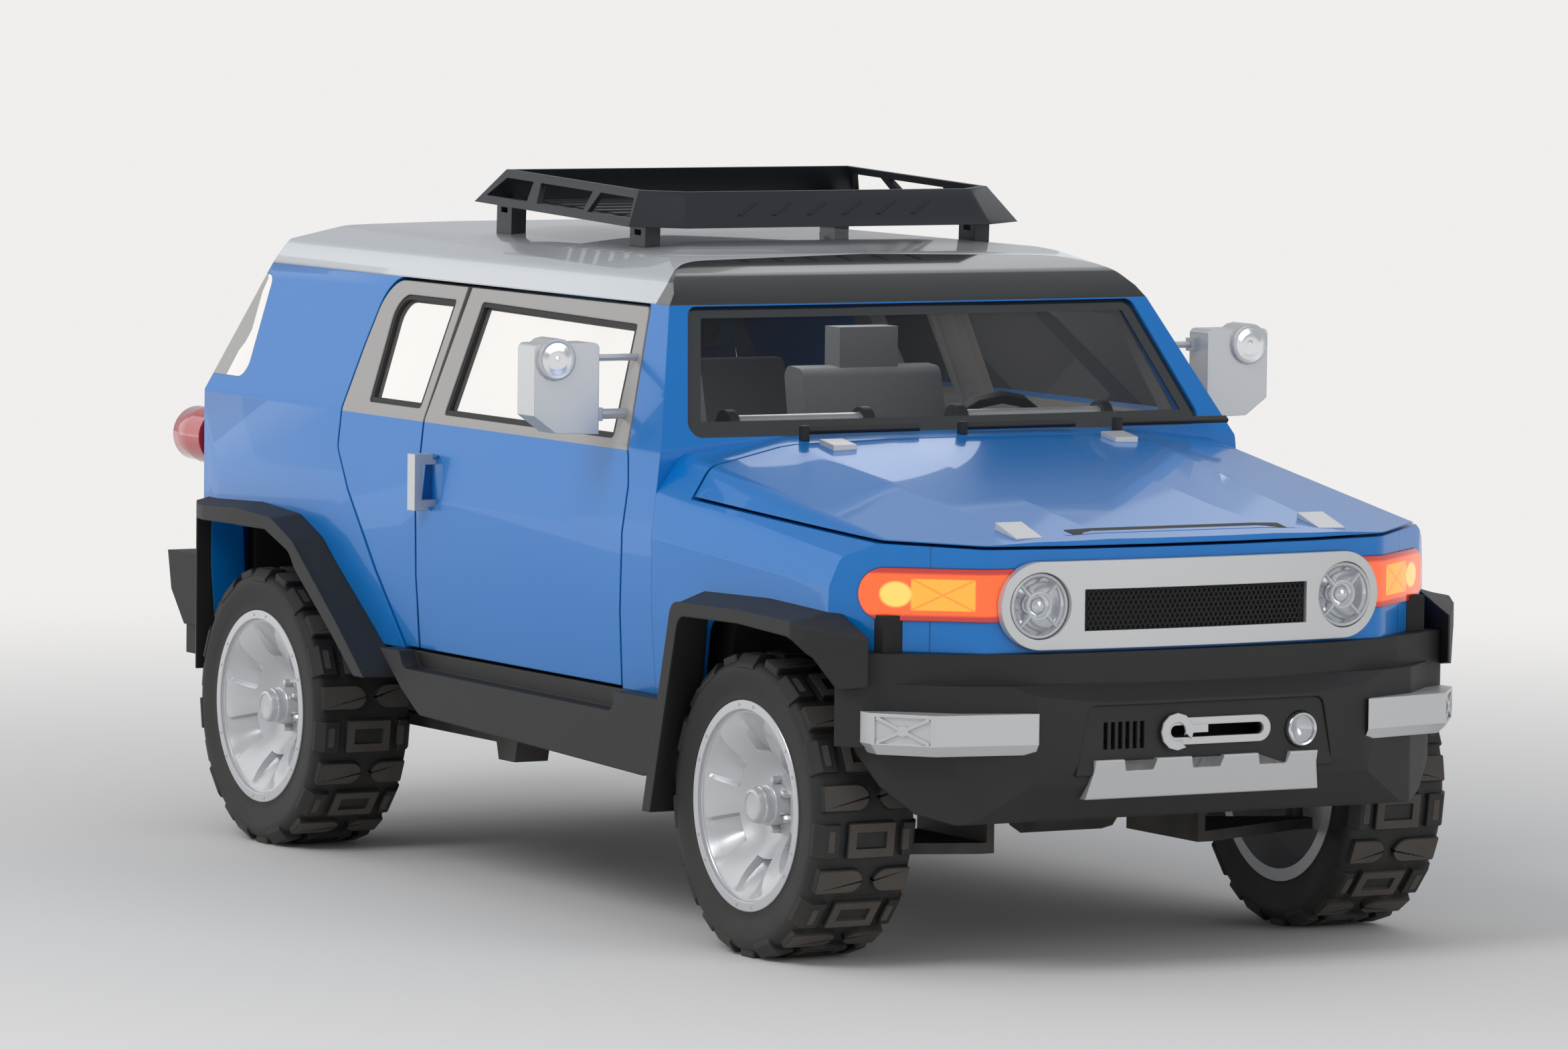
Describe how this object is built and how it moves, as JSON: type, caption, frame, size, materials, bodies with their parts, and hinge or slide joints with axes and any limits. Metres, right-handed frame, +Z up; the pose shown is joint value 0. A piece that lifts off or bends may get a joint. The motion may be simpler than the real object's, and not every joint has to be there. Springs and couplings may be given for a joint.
{
  "type": "lifted off-road 4x4",
  "caption": "Compact lifted off-road 4x4 with opening doors, hood and side-hinged tailgate, steering front wheels, knobbly tyres, roof rack and tailgate spare.",
  "frame": {"origin": "on the ground under the middle of the vehicle's bounding box", "axes": "+X forward, +Y to the vehicle's left, +Z up"},
  "size_m": [4.1993, 2.2, 1.8661],
  "materials": {
    "blue_paint": "gloss clear coat",
    "silver_paint": "gloss",
    "gloss_black": "gloss",
    "rack_coating": "satin powder coat",
    "satin_silver": "satin",
    "black_plastic": "fine grain",
    "dark_panel": "matt",
    "chassis_paint": "satin",
    "cast_metal": "rough",
    "clear_glass": "smooth",
    "lamp_glass": "smooth",
    "orange_lens": "gloss",
    "red_lens": "gloss",
    "seat_fabric": "woven",
    "wheel_silver": "satin",
    "tyre_rubber": "matt"
  },
  "bodies": {
    "body": {"body_shell": "blue_paint", "bumper_trim": "satin_silver", "chassis_frame": "chassis_paint", "dash": "black_plastic", "engine_block": "cast_metal", "fender_flares": "black_plastic", "fixed_glass": "clear_glass", "front_axle": "chassis_paint", "front_bumper": "black_plastic", "front_lamps": "lamp_glass", "front_suspension": "chassis_paint", "front_wings": "blue_paint", "grille_mesh": "black_plastic", "grille_surround": "satin_silver", "inner_panels": "dark_panel", "nose_panel": "blue_paint", "rear_axle": "chassis_paint", "rear_bumper": "black_plastic", "rear_suspension": "chassis_paint", "rockers": "black_plastic", "roof": "silver_paint", "roof_rack": "rack_coating", "seats": "seat_fabric", "tail_lamps": "red_lens", "turn_lamps": "orange_lens", "winch_panel": "black_plastic", "windscreen_header": "gloss_black", "wipers": "black_plastic"},
    "hood": {"hood": "blue_paint", "hood_plates": "satin_silver"},
    "tailgate": {"tailgate": "blue_paint", "tailgate_glass": "clear_glass", "spare_wheel": "wheel_silver", "spare_tyre": "tyre_rubber"},
    "steering_wheel": {"steering_wheel": "black_plastic"},
    "front_door_left": {"front_door_left": "blue_paint", "front_door_glass_left": "clear_glass", "door_fittings_left": "satin_silver"},
    "rear_door_left": {"rear_door_left": "blue_paint", "rear_door_glass_left": "clear_glass"},
    "knuckle_left": {"knuckle_left": "chassis_paint"},
    "front_wheel_left": {"front_wheel_left": "wheel_silver", "front_tyre_left": "tyre_rubber"},
    "rear_wheel_left": {"rear_wheel_left": "wheel_silver", "rear_tyre_left": "tyre_rubber"},
    "front_door_right": {"front_door_right": "blue_paint", "front_door_glass_right": "clear_glass", "door_fittings_right": "satin_silver"},
    "rear_door_right": {"rear_door_right": "blue_paint", "rear_door_glass_right": "clear_glass"},
    "knuckle_right": {"knuckle_right": "chassis_paint"},
    "front_wheel_right": {"front_wheel_right": "wheel_silver", "front_tyre_right": "tyre_rubber"},
    "rear_wheel_right": {"rear_wheel_right": "wheel_silver", "rear_tyre_right": "tyre_rubber"}
  },
  "joints": [
    {"name": "hood_hinge", "type": "hinge", "parent": "body", "child": "hood", "pos_m": [0.946, 0, 1.237], "axis": [0, -1, 0], "range_deg": [0, 60]},
    {"name": "tailgate_hinge", "type": "hinge", "parent": "body", "child": "tailgate", "pos_m": [-1.804, -0.64, 1.1], "axis": [0, 0, 1], "range_deg": [0, 90]},
    {"name": "steering_wheel_turn", "type": "hinge", "parent": "body", "child": "steering_wheel", "pos_m": [0.52, 0.37, 1.09], "axis": [-0.9, 0, 0.436], "range_deg": [-480, 480]},
    {"name": "front_door_hinge_left", "type": "hinge", "parent": "body", "child": "front_door_left", "pos_m": [0.69, 0.882, 1], "axis": [0, 0.0698, -0.9976], "range_deg": [0, 68]},
    {"name": "rear_door_hinge_left", "type": "hinge", "parent": "body", "child": "rear_door_left", "pos_m": [-0.905, 0.882, 1], "axis": [0, -0.0698, 0.9976], "range_deg": [0, 85]},
    {"name": "steer_left", "type": "hinge", "parent": "body", "child": "knuckle_left", "pos_m": [1.415, 0.7, 0.377], "axis": [0, 0, 1], "range_deg": [-30, 30]},
    {"name": "front_wheel_spin_left", "type": "hinge", "parent": "knuckle_left", "child": "front_wheel_left", "pos_m": [1.415, 0.78, 0.377], "axis": [0, 1, 0], "continuous": true},
    {"name": "rear_wheel_spin_left", "type": "hinge", "parent": "body", "child": "rear_wheel_left", "pos_m": [-1.275, 0.78, 0.377], "axis": [0, 1, 0], "continuous": true},
    {"name": "front_door_hinge_right", "type": "hinge", "parent": "body", "child": "front_door_right", "pos_m": [0.69, -0.882, 1], "axis": [0, 0.0698, 0.9976], "range_deg": [0, 68]},
    {"name": "rear_door_hinge_right", "type": "hinge", "parent": "body", "child": "rear_door_right", "pos_m": [-0.905, -0.882, 1], "axis": [0, -0.0698, -0.9976], "range_deg": [0, 85]},
    {"name": "steer_right", "type": "hinge", "parent": "body", "child": "knuckle_right", "pos_m": [1.415, -0.7, 0.377], "axis": [0, 0, 1], "range_deg": [-30, 30]},
    {"name": "front_wheel_spin_right", "type": "hinge", "parent": "knuckle_right", "child": "front_wheel_right", "pos_m": [1.415, -0.78, 0.377], "axis": [0, 1, 0], "continuous": true},
    {"name": "rear_wheel_spin_right", "type": "hinge", "parent": "body", "child": "rear_wheel_right", "pos_m": [-1.275, -0.78, 0.377], "axis": [0, 1, 0], "continuous": true}
  ],
  "couplings": [
    {"joint": "steer_right", "follows": "steer_left", "ratio": 1},
    {"joint": "steering_wheel_turn", "follows": "steer_left", "ratio": 16}
  ]
}
